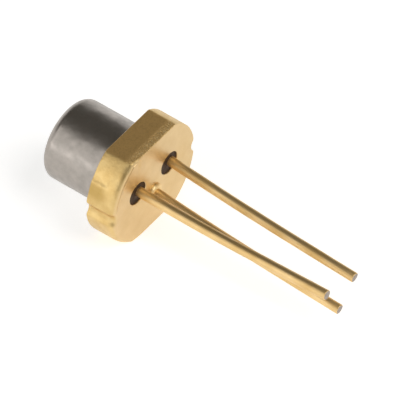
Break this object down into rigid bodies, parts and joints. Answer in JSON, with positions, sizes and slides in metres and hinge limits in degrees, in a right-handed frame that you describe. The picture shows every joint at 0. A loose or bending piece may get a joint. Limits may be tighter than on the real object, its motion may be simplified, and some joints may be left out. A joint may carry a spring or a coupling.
{
  "type": "laser diode",
  "caption": "Laser diode in a small metal can with a gold-plated stem that has flats and notches, a windowed cap and long gold-plated leads.",
  "frame": {"origin": "where the beam axis meets the stem's seat face, on the cap's side", "axes": "+Y is the way the beam leaves, +Z is square to the stem's flats, away from the ground lead, and X runs along the two glass seals"},
  "size_m": [0.0038, 0.0096, 0.0032],
  "materials": {
    "gold_plated_steel": "satin gold plating",
    "gold_plated_lead": "gold plating, ends cut bare",
    "nickel_cap": "satin nickel plating",
    "seal_glass": "dark, opaque",
    "window_glass": "clear, coated",
    "frit": "matt solder glass",
    "braze": "bright, plated over",
    "copper": "gold-plated copper",
    "solder": "gold-tin solder",
    "aluminium_nitride": "fired ceramic, gold pads",
    "laser_crystal": "polished",
    "silicon": "polished",
    "silver_epoxy": "matt",
    "gold_wire": "bright"
  },
  "bodies": {
    "root": {"stem": "gold_plated_steel", "glass_seal_left": "seal_glass", "glass_seal_right": "seal_glass", "laser_lead": "gold_plated_lead", "monitor_lead": "gold_plated_lead", "ground_lead": "gold_plated_lead", "ground_braze": "braze", "cap": "nickel_cap", "window": "window_glass", "window_seal": "frit", "heat_sink": "copper", "sink_braze": "braze", "submount": "aluminium_nitride", "submount_solder": "solder", "laser_chip": "laser_crystal", "chip_solder": "solder", "monitor_photodiode": "silicon", "photodiode_adhesive": "silver_epoxy", "laser_wire": "gold_wire", "submount_wire": "gold_wire", "monitor_wire": "gold_wire"}
  },
  "joints": []
}
